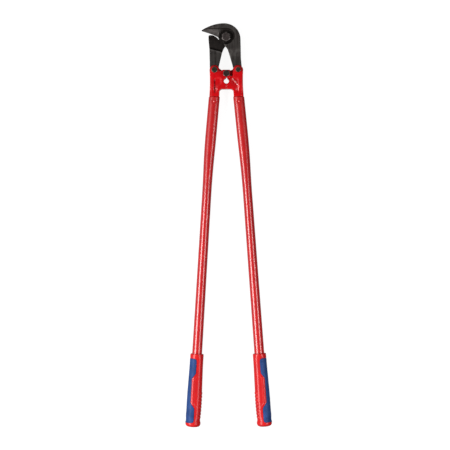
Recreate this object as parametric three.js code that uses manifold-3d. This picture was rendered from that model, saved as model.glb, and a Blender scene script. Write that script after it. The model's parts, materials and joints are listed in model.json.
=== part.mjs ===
// A long-handled compound cutter with a hooked jaw, closed and lying on its back.
//
// Two forged blades turn on the blade pivot. Each blade's tang is pinned between the two ears of a lever
// head, the two lever heads turn on the lever pivot, and each carries a tube handle with a sleeved grip.
// Opening the handles swings the ears up past the lever pivot, which draws the tangs together and opens
// the jaws a fifth as far.
//
// +Y runs towards the jaws, +X to the right and +Z up, out of the front face. Every place in the head is
// measured from the blade pivot at the middle of the thickness. The last lines move the whole tool, so
// that its origin is the middle of the rectangle it covers on the surface that it lies on.

import * as THREE from 'three';
import { mergeVertices } from 'three/addons/utils/BufferGeometryUtils.js';
import Module from 'manifold-3d';

const wasm = await Module();
wasm.setup();

// ---- Driving dimensions, in millimetres and degrees ----

// Clearances and facets
const GAP = 0.3; // between pieces that touch or turn on each other
const CURVE_STEPS = 6; // straight steps along one curve of an outline
const ROUND_SIDES = 24; // sides of a disc, bore, shank or grip
const TUBE_SIDES = 16;
const TUBE_STATIONS = 16; // straight stretches along a tube
const GRIP_STEPS = 12; // and along a grip
const FAR = 400; // reach of the blocks that only cut

// The four pivots
const LINK_X = 27.7; // links, left and right of the middle
const LINK_Y = -77.3;
const LEVER_PIVOT_Y = -86;

// Levels through the thickness
const JAW_HALF = 12;
const TANG_HALF = 6;
const LEVER_HALF = 12;
const LEG_HALF = 9.2; // lever head where it enters the tube
const LAP_Z = 3; // the hook lies over the counter blade from here up
const SEAT_Z = 7.5; // floor of the bolt's recess in the hook's front
const REAR_SEAT_Z = -9; // floor of the nut's recess in the counter blade's back
const BASE_Z = -17.8; // the surface that the tool lies on

// Blades
const BOSS_R = 17.5; // round end of the counter blade, behind the hook
const EYE_R = 10; // round end of a tang
const HOOK_TIP = { x: -56.6, top: 17, nose: -58.6, middle: 15.6, bottom: 14.4 };
const HOOK_CROWN = { x: -5.2, y: 31.7 };
const HOOK_BACK = { x: 33.7, y: -6 };
const HOOK_THROAT = { x: -19.2, y: 0 };
const COUNTER_SIDE_X = -41.3;
const COUNTER_TOP_Y = 5.2;
const COUNTER_CORNER_R = 3;
const COUNTER_THROAT = { x: -17.2, y: -5.5 };
const CROTCH = { x: -3.1, y: -22.4 };
const STEP_LEFT_Y = -25; // shoulder line across the counter blade, at its left side
const STEP_DROP = 0.284; // fall of that line for each millimetre to the right
const EDGE_LAND = 0.6; // half thickness left along a cutting edge
const HOOK_EDGE = { x: -36, y: 7.6, turn: -20.5 }; // a point on the edge, and its angle to the X axis
const COUNTER_EDGE = { x: -25, y: 1.7, turn: -24 };
const BEVEL = 37; // degrees between a ground bevel and the middle plane
const COUNTER_FRONT_BEVEL = 12;
const OPEN_SLOT = { length: 3.5, clearance: 0.8 }; // play of the left link bolt in its tang, outwards

// Lever heads
const EAR_R = 11.7;
const FORK_R = 15; // round slot between the ears
const FORK_HALF = 6.5;
const LAP_R = 12.5; // half-thickness disc around the lever pivot
const LAP_TOP = 9; // its flat top, above the lever pivot
const STOP_HALF_GAP = 0.15; // between the two stop faces, each side of the middle
const SIGHT_HOLE = { y: -103.2, r: 6.1 };
const ARCH = { top: -121.8, half: 16.4, r: 7 };
const LEG_END_Y = -139.5;
const WEB_DEPTH = 1.6; // hollow in each face of a lever head

// Tube handles: the middle line leaves the head steeply and bends a little outwards from the head down
const BEND = { x: 42.5, y: -285, soft: 30 };
const SLOPE_UPPER = 0.0955; // millimetres outwards for each millimetre down
const SLOPE_LOWER = 0.0668;
const TUBE_WALL = 2;
const TUBE_HALF_SUM = 23.2; // half width and half depth together stay the same along the tube
const TUBE_TOP_HALF = 13;
const TUBE_WAIST_HALF = 10.8;
const TUBE_END_HALF = 11.6;
const TUBE_FLAT_END_Y = -225;
const TUBE_WAIST_Y = -365;
const TUBE_ROUND_Y = -724;
const SPIGOT_LENGTH = 48;
const PIN_Y = -150.6;
const PIN_R = 2.6;
const PIN_PROUD = 0.6;

// Grips
const GRIP_TOP_Y = -742;
const GRIP_LENGTH = 172;
const GRIP_BORE_DEPTH = 152;
const GRIP_STATIONS = [
  [0, 15.6],
  [27, 15.6],
  [60, 16.3],
  [98, 17.1],
  [132, 17],
  [153, 16.2],
  [161, -BASE_Z],
];
const INLAY_DEPTH = 2.2;
const INLAY = { top: -11.3, bottom: -161.5, upper: -0.7, waist: 8.2, lower: -2, corner: 6 };

// Bolts, each with its nut on the back: shank radius, half width across the flats, levels
const BLADE_BOLT = { r: 7, flats: 9.4, high: 15.5, nutFlats: 9.5, washer: 11.2, washerThick: 1.5 };
const LINK_BOLT = { r: 4, left: 6.3, right: 5.4, high: 17.3, nutFlats: 6.5, washer: 7.6 };
const LEVER_BOLT = { r: 4, flats: 7.2, high: 18, nutFlats: 6.5, washer: 7.6 };
const WASHER_THICK = 1.2;
const NUT_LOW = -17.6; // lower face of the three small nuts
const SHANK_SHORT = 0.4; // a shank ends this far inside its nut

// ---- Materials ----

const FORGED_STEEL = { color: 0x2b2928, roughness: 0.5, metalness: 0.8 };
const BLACK_STEEL = { color: 0x1f1f20, roughness: 0.45, metalness: 0.8 };
const RED_CASTING = { color: 0xb01222, roughness: 0.35, metalness: 0.2 };
const RED_TUBE = { color: 0xb5161f, roughness: 0.25, metalness: 0.1 };
const RED_PLASTIC = { color: 0xc01a20, roughness: 0.35, metalness: 0 };
const BLUE_PLASTIC = { color: 0x1f3f86, roughness: 0.7, metalness: 0 };

// ---- Making and joining solids ----

function solidFrom(geometry) {
  const bare = geometry.clone();
  bare.deleteAttribute('normal');
  bare.deleteAttribute('uv');
  const joined = mergeVertices(bare);
  return new wasm.Manifold(new wasm.Mesh({
    numProp: 3,
    vertProperties: Float32Array.from(joined.attributes.position.array),
    triVerts: Uint32Array.from(joined.index.array),
  }));
}

function meshOf(name, solid, finish) {
  const mesh = solid.getMesh();
  const geometry = new THREE.BufferGeometry();
  geometry.setAttribute('position', new THREE.BufferAttribute(mesh.vertProperties, mesh.numProp));
  geometry.setIndex(new THREE.BufferAttribute(mesh.triVerts, 1));
  const named = new THREE.Mesh(geometry, new THREE.MeshStandardMaterial(finish));
  named.name = name;
  return named;
}

// A flat plate of one outline, between two levels.
function plate(shape, low, high) {
  const depth = high - low;
  const options = { depth, bevelEnabled: false, curveSegments: CURVE_STEPS };
  return solidFrom(new THREE.ExtrudeGeometry(shape, options).translate(0, 0, low));
}

function disc(x, y, radius, low, high, sides = ROUND_SIDES) {
  const geometry = new THREE.CylinderGeometry(radius, radius, high - low, sides);
  return solidFrom(geometry.rotateX(Math.PI / 2).translate(x, y, (low + high) / 2));
}

// A hexagon by its half width across the flats, with a corner pointing along Y.
function hexagon(x, y, flats, low, high) {
  return disc(x, y, flats / Math.cos(Math.PI / 6), low, high, 6);
}

// A prism across the whole width, from its outline in Y and Z.
function sidePrism(points) {
  const shape = new THREE.Shape(points.map(([y, z]) => new THREE.Vector2(y, z)));
  const geometry = new THREE.ExtrudeGeometry(shape, { depth: 2 * FAR, bevelEnabled: false });
  const turn = new THREE.Matrix4().makeBasis(
    new THREE.Vector3(0, 1, 0),
    new THREE.Vector3(0, 0, 1),
    new THREE.Vector3(1, 0, 0),
  );
  return solidFrom(geometry.applyMatrix4(turn).translate(-FAR, 0, 0));
}

// The same thickness above and below the middle: one value down to y1, another from y2 on.
function taperedSlab(half1, y1, half2, y2) {
  return sidePrism([
    [FAR, half1],
    [y1, half1],
    [y2, half2],
    [-FAR, half2],
    [-FAR, -half2],
    [y2, -half2],
    [y1, -half1],
    [FAR, -half1],
  ]);
}

// An outline drawn for the left side, turned into the shape for either side.
function sided(path, side) {
  const points = path.getPoints(CURVE_STEPS);
  return new THREE.Shape(points.map((point) => new THREE.Vector2(-side * point.x, point.y)));
}

// A block that takes off everything outside a bevel. Its plane passes through an edge line, a little off
// the middle plane, and climbs at the angle towards the line's left side, or towards its right side for a
// negative angle. up is 1 for the front and -1 for the back.
function bevelCutter({ x, y, turn }, angle, up) {
  const block = new THREE.BoxGeometry(FAR, FAR, FAR).translate(0, 0, up * FAR / 2);
  block.rotateX(THREE.MathUtils.degToRad(up * angle));
  block.rotateZ(THREE.MathUtils.degToRad(turn));
  return solidFrom(block.translate(x, y, up * EDGE_LAND));
}

// ---- Blades ----

function hookOutline() {
  const path = new THREE.Path();
  path.moveTo(HOOK_TIP.x, HOOK_TIP.bottom);
  path.quadraticCurveTo(HOOK_TIP.nose, HOOK_TIP.middle, HOOK_TIP.x, HOOK_TIP.top);
  path.bezierCurveTo(-45, 24.5, -25, HOOK_CROWN.y, HOOK_CROWN.x, HOOK_CROWN.y);
  path.bezierCurveTo(16, HOOK_CROWN.y, 33.3, 17, HOOK_BACK.x, HOOK_BACK.y);
  path.lineTo(34.4, -50);
  path.lineTo(LINK_X + EYE_R - 1.2, LINK_Y + 4);
  path.absarc(LINK_X - 0.6, LINK_Y, EYE_R, 0.3, -Math.PI, true);
  path.lineTo(14.6, -66);
  path.lineTo(7.2, -40);
  path.quadraticCurveTo(4.2, -27, CROTCH.x + 0.6, CROTCH.y);
  path.lineTo(-11, -4);
  path.lineTo(-17, -4);
  path.lineTo(HOOK_THROAT.x, HOOK_THROAT.y);
  path.quadraticCurveTo(-30, 6.8, HOOK_TIP.x, HOOK_TIP.bottom);
  return new THREE.Shape(path.getPoints(CURVE_STEPS));
}

// What the counter blade sweeps behind the hook: its round end, and its shoulder at the crotch.
function counterSweep() {
  const shoulder = new THREE.Shape();
  shoulder.moveTo(-9, -8);
  shoulder.lineTo(-9, -33);
  shoulder.lineTo(3.6, -33);
  shoulder.lineTo(5.4, -27);
  shoulder.lineTo(6.9, -22.4);
  shoulder.lineTo(12, -8);
  const top = LAP_Z + GAP;
  const low = -JAW_HALF - 1;
  return disc(0, 0, BOSS_R + GAP, low, top).add(plate(shoulder, low, top));
}

// The bevels stop at the turned recess around the blade pivot.
function jawZone() {
  const block = new THREE.BoxGeometry(FAR, FAR, FAR);
  return solidFrom(block.translate(-BOSS_R + GAP - FAR / 2, 0, 0));
}

function hookBlade() {
  return plate(hookOutline(), -JAW_HALF, JAW_HALF)
    .intersect(taperedSlab(JAW_HALF, -26, TANG_HALF, -47))
    .subtract(bevelCutter(HOOK_EDGE, BEVEL, 1).intersect(jawZone()))
    .subtract(bevelCutter(HOOK_EDGE, BEVEL, -1).intersect(jawZone()))
    .subtract(counterSweep())
    .subtract(disc(0, 0, BOSS_R - GAP, SEAT_Z, JAW_HALF + 1))
    .subtract(disc(0, 0, BLADE_BOLT.r + GAP, -FAR, FAR))
    .subtract(disc(LINK_X, LINK_Y, LINK_BOLT.r + GAP, -FAR, FAR));
}

function counterOutline() {
  const path = new THREE.Path();
  path.moveTo(COUNTER_THROAT.x, COUNTER_THROAT.y);
  path.quadraticCurveTo(-24, 3.2, -33, COUNTER_TOP_Y);
  path.absarc(
    COUNTER_SIDE_X + COUNTER_CORNER_R,
    COUNTER_TOP_Y - COUNTER_CORNER_R,
    COUNTER_CORNER_R,
    Math.PI / 2,
    Math.PI,
    false,
  );
  path.lineTo(COUNTER_SIDE_X, -6);
  path.lineTo(-39.3, -30);
  path.lineTo(-LINK_X - EYE_R - 0.9, LINK_Y + 2);
  path.absarc(-LINK_X - 1, LINK_Y, EYE_R, Math.PI, 2 * Math.PI, false);
  path.lineTo(-17, -66);
  path.lineTo(-10.6, -40);
  path.quadraticCurveTo(-7.6, -27, CROTCH.x, CROTCH.y);
  path.lineTo(0, -16);
  return new THREE.Shape(path.getPoints(CURVE_STEPS));
}

// The part of the counter blade's outline on one side of its shoulder line.
function shoulderZone(above) {
  const shape = new THREE.Shape();
  const left = -FAR / 2;
  const edgeY = (x) => STEP_LEFT_Y - STEP_DROP * (x - COUNTER_SIDE_X);
  shape.moveTo(left, edgeY(left));
  shape.lineTo(-left, edgeY(-left));
  shape.lineTo(-left, above ? FAR : -FAR);
  shape.lineTo(left, above ? FAR : -FAR);
  return plate(shape, -FAR, FAR);
}

// The left link bolt's hole, drawn out sideways into a slot.
function openSlot() {
  const { length, clearance } = OPEN_SLOT;
  const r = LINK_BOLT.r + clearance;
  const hole = disc(-LINK_X, LINK_Y, r, -FAR, FAR);
  const end = disc(-LINK_X - length, LINK_Y, r, -FAR, FAR);
  const between = new THREE.BoxGeometry(length, 2 * r, 2 * FAR);
  return hole.add(end).add(solidFrom(between.translate(-LINK_X - length / 2, LINK_Y, 0)));
}

function counterBlade() {
  const outline = counterOutline();
  const jaw = plate(outline, -JAW_HALF, -TANG_HALF + 1).intersect(shoulderZone(true));
  const tang = plate(outline, LAP_Z - 1, TANG_HALF).intersect(shoulderZone(false));
  return plate(outline, -TANG_HALF, LAP_Z)
    .add(jaw)
    .add(tang)
    .subtract(bevelCutter(COUNTER_EDGE, -COUNTER_FRONT_BEVEL, 1))
    .subtract(bevelCutter(COUNTER_EDGE, -BEVEL, -1))
    .add(disc(0, 0, BOSS_R, -JAW_HALF, LAP_Z))
    .subtract(disc(0, 0, BLADE_BOLT.washer + 1, -JAW_HALF - 1, REAR_SEAT_Z))
    .subtract(disc(0, 0, BLADE_BOLT.r + GAP, -FAR, FAR))
    .subtract(openSlot());
}

// ---- Lever heads ----

function leverPath() {
  const path = new THREE.Path();
  path.moveTo(-STOP_HALF_GAP, LEVER_PIVOT_Y + LAP_TOP);
  path.lineTo(-11.5, LEVER_PIVOT_Y + LAP_TOP);
  path.absarc(-LINK_X, LINK_Y, EAR_R, 0.35, Math.PI, false);
  path.quadraticCurveTo(-38.1, -100, -39, -118);
  path.lineTo(-40.2, LEG_END_Y);
  path.lineTo(-16.9, LEG_END_Y);
  path.lineTo(-ARCH.half, ARCH.top - ARCH.r);
  path.absarc(-ARCH.half + ARCH.r, ARCH.top - ARCH.r, ARCH.r, Math.PI, Math.PI / 2, true);
  path.lineTo(-STOP_HALF_GAP, ARCH.top);
  return path;
}

function webPath() {
  const path = new THREE.Path();
  path.moveTo(-8, -96);
  path.lineTo(-20, -93.5);
  path.quadraticCurveTo(-29.6, -92, -29.8, -99);
  path.lineTo(-29.8, -121);
  path.quadraticCurveTo(-29, -128, -24, -126);
  path.quadraticCurveTo(-20.5, -116, -10, -114.5);
  path.quadraticCurveTo(-6, -108, -8, -96);
  return path;
}

// One lever head. front says whether its half of the lap lies in front.
function leverHead(side, front) {
  const lapLow = front ? GAP / 2 : -LEVER_HALF;
  const lapHigh = front ? LEVER_HALF : -GAP / 2;
  const pocketLow = front ? -FAR : -GAP / 2;
  const pocketHigh = front ? GAP / 2 : FAR;
  const web = sided(webPath(), side);
  const lapFlat = LEVER_PIVOT_Y + LAP_TOP;
  return plate(sided(leverPath(), side), -LEVER_HALF, LEVER_HALF)
    .intersect(taperedSlab(LEVER_HALF, -113, LEG_HALF, -131))
    .subtract(disc(0, LEVER_PIVOT_Y, LAP_R + GAP, pocketLow, pocketHigh))
    .add(disc(0, LEVER_PIVOT_Y, LAP_R, lapLow, lapHigh).intersect(lowerThan(lapFlat)))
    .subtract(disc(0, SIGHT_HOLE.y, SIGHT_HOLE.r, -FAR, FAR))
    .subtract(disc(side * LINK_X, LINK_Y, FORK_R, -FORK_HALF, FORK_HALF))
    .subtract(plate(web, LEVER_HALF - WEB_DEPTH, FAR))
    .subtract(plate(web, -FAR, -LEVER_HALF + WEB_DEPTH))
    .add(handleStretch(side, LEG_END_Y + 4, LEG_END_Y - SPIGOT_LENGTH, TUBE_WALL + GAP, 4))
    .subtract(disc(0, LEVER_PIVOT_Y, LEVER_BOLT.r + GAP, -FAR, FAR))
    .subtract(disc(side * LINK_X, LINK_Y, LINK_BOLT.r + GAP, -FAR, FAR))
    .subtract(disc(side * handleCentre(PIN_Y), PIN_Y, PIN_R + GAP, -FAR, FAR));
}

function lowerThan(y) {
  const block = new THREE.BoxGeometry(2 * FAR, FAR, 2 * FAR);
  return solidFrom(block.translate(0, y - FAR / 2, 0));
}

// ---- Handles ----

// How far out the middle line of a handle is at a height, with a soft bend.
function handleCentre(y) {
  const drop = BEND.y - y;
  const mean = (SLOPE_UPPER + SLOPE_LOWER) / 2;
  const turn = (SLOPE_LOWER - SLOPE_UPPER) / 2;
  return BEND.x + mean * drop + turn * Math.hypot(drop, BEND.soft);
}

// Half the tube's width in the front view: pressed flat at the head, narrowest below the bend, and
// drawn out to a round end in the grip.
function tubeHalfWidth(y) {
  const flat = THREE.MathUtils.smoothstep(y, TUBE_WAIST_Y, TUBE_FLAT_END_Y);
  const round = THREE.MathUtils.clamp((TUBE_WAIST_Y - y) / (TUBE_WAIST_Y - TUBE_ROUND_Y), 0, 1);
  const below = THREE.MathUtils.lerp(TUBE_WAIST_HALF, TUBE_END_HALF, round);
  return THREE.MathUtils.lerp(below, TUBE_TOP_HALF, flat);
}

// A solid that fills the tube's outline between two heights, made smaller all round by shrink.
function handleStretch(side, top, bottom, shrink, stations) {
  const geometry = new THREE.CylinderGeometry(1, 1, 1, TUBE_SIDES, stations);
  const spots = geometry.attributes.position;
  for (let i = 0; i < spots.count; i += 1) {
    const y = THREE.MathUtils.lerp(bottom, top, spots.getY(i) + 0.5);
    const halfWidth = tubeHalfWidth(y);
    const x = side * handleCentre(y) + spots.getX(i) * (halfWidth - shrink);
    const z = spots.getZ(i) * (TUBE_HALF_SUM - halfWidth - shrink);
    spots.setXYZ(i, x, y, z);
  }
  return solidFrom(geometry);
}

function handleTube(side) {
  const top = LEG_END_Y - GAP;
  const bottom = GRIP_TOP_Y - GRIP_BORE_DEPTH + 2;
  return handleStretch(side, top, bottom, 0, TUBE_STATIONS)
    .subtract(handleStretch(side, top + 1, bottom - 1, TUBE_WALL, TUBE_STATIONS))
    .subtract(disc(side * handleCentre(PIN_Y), PIN_Y, PIN_R + GAP, -FAR, FAR));
}

function tubePin(side) {
  const reach = TUBE_HALF_SUM - TUBE_TOP_HALF + PIN_PROUD;
  return disc(side * handleCentre(PIN_Y), PIN_Y, PIN_R, -reach, reach, 20);
}

// ---- Grips, drawn upright with their top at the origin and turned into place ----

function gripSkin(shrink) {
  const stations = GRIP_STATIONS.map(([drop, r]) => new THREE.Vector2(r - shrink, -drop));
  const side = new THREE.SplineCurve(stations).getPoints(GRIP_STEPS);
  const [shoulderDrop, shoulderR] = GRIP_STATIONS.at(-1);
  const domeLength = GRIP_LENGTH - shrink - shoulderDrop;
  const dome = new THREE.EllipseCurve(
    0,
    -shoulderDrop,
    shoulderR - shrink,
    domeLength,
    0,
    -Math.PI / 2,
    true,
  );
  const profile = [new THREE.Vector2(0, 0), ...side, ...dome.getPoints(5).slice(1)];
  profile.at(-1).x = 0;
  return solidFrom(new THREE.LatheGeometry(profile.reverse(), ROUND_SIDES));
}

// The soft zone's outline on the outer side, made larger all round by grow.
function inlayShape(side, grow) {
  const { top, bottom, upper, waist, lower, corner } = INLAY;
  const path = new THREE.Path();
  path.moveTo(25, top + grow);
  path.lineTo(upper + corner - grow, top - 1 + grow);
  path.quadraticCurveTo(upper - grow, top - 1.5 + grow, upper - grow, top - corner);
  path.lineTo(upper - grow, -43);
  path.bezierCurveTo(upper - grow, -53, waist - grow, -48, waist - grow, -60);
  path.lineTo(waist - grow, -112);
  path.bezierCurveTo(waist - grow, -124, lower - grow, -119, lower - grow, -130);
  path.lineTo(lower - grow, bottom + corner);
  path.quadraticCurveTo(lower - grow, bottom - grow, lower + corner - grow, bottom - grow);
  path.lineTo(25, bottom - grow);
  return new THREE.Shape(path.getPoints(4).map((point) => new THREE.Vector2(side * point.x, point.y)));
}

function gripInlay(side) {
  return gripSkin(0)
    .subtract(gripSkin(INLAY_DEPTH))
    .intersect(plate(inlayShape(side, 0), -FAR, FAR));
}

function gripSleeve(side) {
  const pocket = gripSkin(-1)
    .subtract(gripSkin(INLAY_DEPTH + GAP))
    .intersect(plate(inlayShape(side, GAP), -FAR, FAR));
  const bore = new THREE.CylinderGeometry(
    TUBE_END_HALF + 2 * GAP,
    TUBE_END_HALF + 2 * GAP,
    2 * GRIP_BORE_DEPTH,
    TUBE_SIDES,
  );
  return gripSkin(0).subtract(solidFrom(bore)).subtract(pocket);
}

// ---- Bolts, washers and nuts ----

function bolt(x, y, r, flats, seat, high, low) {
  return hexagon(x, y, flats, seat + GAP, high).add(disc(x, y, r, low, seat + GAP + 1));
}

function washer(x, y, outerR, hole, low, high) {
  return disc(x, y, outerR, low, high).subtract(disc(x, y, hole, low - 1, high + 1));
}

function nut(x, y, flats, hole, low, high) {
  return hexagon(x, y, flats, low, high).subtract(disc(x, y, hole, low - 1, high + 1));
}

// ---- The assembly ----

const tool = new THREE.Group();

function addPiece(name, solid, finish) {
  tool.add(meshOf(name, solid, finish));
}

// A bolt through the lever heads with its washer and nut on the back.
function addLeverFastening(name, x, y, { r, high, nutFlats, washer: washerR }, flats) {
  const washerLow = -LEVER_HALF - GAP - WASHER_THICK;
  addPiece(`${name}_bolt`, bolt(x, y, r, flats, LEVER_HALF, high, NUT_LOW + SHANK_SHORT), BLACK_STEEL);
  addPiece(`${name}_washer`, washer(x, y, washerR, r + GAP, washerLow, -LEVER_HALF - GAP), BLACK_STEEL);
  addPiece(`${name}_nut`, nut(x, y, nutFlats, r + GAP, NUT_LOW, washerLow - GAP), BLACK_STEEL);
}

function addBladePivot() {
  const { r, flats, high, nutFlats, washer: washerR, washerThick } = BLADE_BOLT;
  const washerLow = REAR_SEAT_Z - GAP - washerThick;
  addPiece('blade_pivot_bolt', bolt(0, 0, r, flats, SEAT_Z, high, BASE_Z + SHANK_SHORT), BLACK_STEEL);
  addPiece('blade_pivot_washer', washer(0, 0, washerR, r + GAP, washerLow, REAR_SEAT_Z - GAP), BLACK_STEEL);
  addPiece('blade_pivot_nut', nut(0, 0, nutFlats, r + GAP, BASE_Z, washerLow - GAP), BLACK_STEEL);
}

// The grip leans outwards with the lower stretch of its tube.
function addGrip(name, side) {
  const grip = new THREE.Group();
  grip.position.set(side * handleCentre(GRIP_TOP_Y), GRIP_TOP_Y, 0);
  grip.rotation.z = side * Math.atan(SLOPE_LOWER);
  grip.add(meshOf(`${name}_grip_sleeve`, gripSleeve(side), RED_PLASTIC));
  grip.add(meshOf(`${name}_grip_inlay`, gripInlay(side), BLUE_PLASTIC));
  tool.add(grip);
}

addPiece('hook_blade', hookBlade(), FORGED_STEEL);
addPiece('counter_blade', counterBlade(), FORGED_STEEL);
addBladePivot();
addLeverFastening('left_link', -LINK_X, LINK_Y, LINK_BOLT, LINK_BOLT.left);
addLeverFastening('right_link', LINK_X, LINK_Y, LINK_BOLT, LINK_BOLT.right);
addLeverFastening('lever_pivot', 0, LEVER_PIVOT_Y, LEVER_BOLT, LEVER_BOLT.flats);
for (const [name, side] of [['left', -1], ['right', 1]]) {
  addPiece(`${name}_lever_head`, leverHead(side, side < 0), RED_CASTING);
  addPiece(`${name}_handle_tube`, handleTube(side), RED_TUBE);
  addPiece(`${name}_tube_pin`, tubePin(side), BLACK_STEEL);
  addGrip(name, side);
}

const box = new THREE.Box3().setFromObject(tool);
const middle = box.getCenter(new THREE.Vector3());
tool.position.set(-middle.x, -middle.y, -box.min.z);

export default tool;
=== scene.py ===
"""Looks of a long-handled compound cutter with a hooked jaw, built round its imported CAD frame.

Every piece is made in millimetres from the blade pivot, x to the right, y towards the jaws and z out of
the front face, and is put into the row frame, in metres, by made(). The forged and cast pieces are
reliefs: a flat outline, filled with points, whose front and back are functions of the place.
"""

import json
import math
from math import pi

import bmesh
import bpy
import numpy as np
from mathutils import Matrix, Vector
from mathutils.geometry import delaunay_2d_cdt


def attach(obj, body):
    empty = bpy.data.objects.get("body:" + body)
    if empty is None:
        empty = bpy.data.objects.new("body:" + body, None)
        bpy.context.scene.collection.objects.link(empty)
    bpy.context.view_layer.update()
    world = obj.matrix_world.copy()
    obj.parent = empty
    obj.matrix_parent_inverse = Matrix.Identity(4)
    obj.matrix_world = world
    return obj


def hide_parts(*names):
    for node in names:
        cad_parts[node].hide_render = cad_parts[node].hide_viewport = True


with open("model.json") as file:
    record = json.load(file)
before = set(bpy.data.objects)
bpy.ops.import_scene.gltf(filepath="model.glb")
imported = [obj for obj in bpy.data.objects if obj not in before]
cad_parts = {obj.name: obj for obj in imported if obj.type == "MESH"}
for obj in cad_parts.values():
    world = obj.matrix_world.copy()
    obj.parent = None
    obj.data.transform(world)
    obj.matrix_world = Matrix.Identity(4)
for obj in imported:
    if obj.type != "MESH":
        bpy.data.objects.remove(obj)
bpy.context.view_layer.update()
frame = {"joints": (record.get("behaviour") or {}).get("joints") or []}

# ---- Sizes, in millimetres unless a name says otherwise ----

MM = 0.001  # metres in a millimetre
GAP = 0.3  # clearance between two pieces
STEP = 0.3  # width of a steep step in a relief
SOFT_STEP = 0.8  # width of a milder one
SHANK_R = 4  # of the link bolts and the lever pivot bolt
joints = {joint["name"]: joint for joint in frame["joints"]}
PIVOT = Vector(joints["jaws_open"]["pos_m"])
LINK_X, LINK_Y, _ = (Vector(joints["right_link_turn"]["pos_m"]) - PIVOT) / MM
LEVER_PIVOT_Y = (Vector(joints["handles_open"]["pos_m"]) - PIVOT).y / MM
BASE_Z = -PIVOT.z / MM

# Blades
JAW_HALF = 12
TANG_HALF = 6
TANG_SLOPE = (-26, -47, 6)  # where the hook's sides start to thin towards the tang and end, and by how much
LAP_Z = 3
SEAT_Z = 7.5
REAR_SEAT_Z = -9
SEAT_R = 17.3
BOSS_R = 17.5
EYE_R = 10
REAR_SEAT_R = 12.2
EDGE_LAND = 0.6
HOOK_EDGE = (-36, 7.6, math.radians(-20.5))
COUNTER_EDGE = (-25, 1.7, math.radians(-24))
BEVEL = math.tan(math.radians(37))
COUNTER_FRONT_BEVEL = math.tan(math.radians(12))
JAW_ZONE_X = -17.2
JAW_WALL = (-1, 2, 5)  # foot, middle and top of the wall that ends the jaw zone, from its end
TIP_SLOPE = (-14, -58, 7.5)  # the same along x, towards the beak's tip
SEAT_GROOVE = (11, 15.4, 2)  # inner radius, outer radius and depth
GROUND_FROM_CREASE = 1.3  # how close to the crease the ground bevel reaches
SHOULDER = (-41.3, -25, math.atan(-0.284))
SLOT_LENGTH = 3.5
SLOT_CLEARANCE = 0.8
# About the shoulder: a slope's start, end and depth, a ridge's middle, half width and height, and lines
SHOULDER_DIP = (-4.4, -2, 2.4)
SHOULDER_RIDGE = (2.3, 1.4, 0.9)
SHOULDER_LINES = (-5, -3.8, -2.3, -1.4, -0.7, 0, 1.2, 2.6, 4.4)

# Lever heads
LEVER_HALF = 12
EAR_R = 11.7
FORK_R = 15
FORK_HALF = 6.5
LAP_R = 12.5
LAP_TOP = 9
LAP_SUNK = 0.5  # how far the face of the lap lies under the casting's
STOP_HALF_GAP = 0.03
STOP_RELIEF = 0.5  # how far the corners that meet at the full opening are cut back
SIGHT_HOLE = (0, -103.2, 6.1)
SIGHT_TIP = (0.6, -96.2, 1.7)  # the small hole that draws it out to a drop
ARCH_TOP = -121.8
ARCH_HALF = 16.4
ARCH_R = 7
LEG_END_Y = -139.5
# Slopes of a casting's face: where each starts, where it ends and its depth
LEG_SLOPE = (-106, -136, 2.8)  # along y, towards the leg
WEB_SLOPE = (-1.5, 7.5, 2.2)  # inwards from the web's outline
RIB_SLOPE = (-31.5, -39.5, 1.4)  # along x, to the outer edge
EAR_STEP = (8.4, 9.6, 0.5)  # round the link bolt
EAR_ROUND = (6.6, 12.6, 3.6)  # round the link bolt, on the ear's top half
LAP_RING = (18, 13.5, 3.4)  # round the lever pivot, on the right casting's front
GROOVE_X = -27.3
GROOVE_SPAN = (-136, -120, -104, -97)
GROOVE_WIDTHS = (0.9, 2.6)  # of its walls, outwards and inwards
GROOVE_DEPTH = 1.3
FAINT_GROOVE_DEPTH = 0.2  # on the right casting's front
GROOVE_SHADE_Y = (-131, -126, -100)  # foot of the painted shade strip in the left groove, where it widens, and its top
GROOVE_SHADE_HALVES = (2, 1.1)  # half widths, above and below where it widens
GROOVE_LINES = (-2, -1.2, 0, 1, 2, 3.4)
WEB_LINES = (-6, -4, -2, 0, 1.5)
PAD_LINE = [(-14.5, -98.5), (-25.5, -110.8)]
PAD_HALF = 1.7
PAD_HEIGHT = 0.8
POCKET = [(7.9, -5), (14.2, -5), (14.2, 11), (7.9, 11)]  # about the lever pivot, from the front
POCKET_FLOOR = 2.6

# Tubes
BEND_X = 42.5
BEND_Y = -285
BEND_SOFT = 30
SLOPE_UPPER = 0.0955
SLOPE_LOWER = 0.0668
TUBE_WALL = 2
TUBE_HALF_SUM = 23.2
TUBE_TOP_HALF = 13
TUBE_WAIST_HALF = 10.8
TUBE_END_HALF = 11.6
TUBE_FLAT_END_Y = -225
TUBE_WAIST_Y = -365
TUBE_ROUND_Y = -724
SPIGOT_LENGTH = 48
PIN_Y = -150.6
PIN_R = 2.6
DIMPLE_R = 7
DIMPLE_DEPTH = 0.8

# Grips
GRIP_TOP_Y = -742
GRIP_LENGTH = 172
GRIP_BORE_DEPTH = 152
GRIP_STATIONS = [(0, 15.6), (27, 15.6), (60, 16.3), (98, 17.1), (132, 17), (153, 16.2), (161, 17.8)]
DOME_TOP = GRIP_STATIONS[-1][0]
DOME_POWER = 3.2
TOP_ROUND = 1.6
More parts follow.
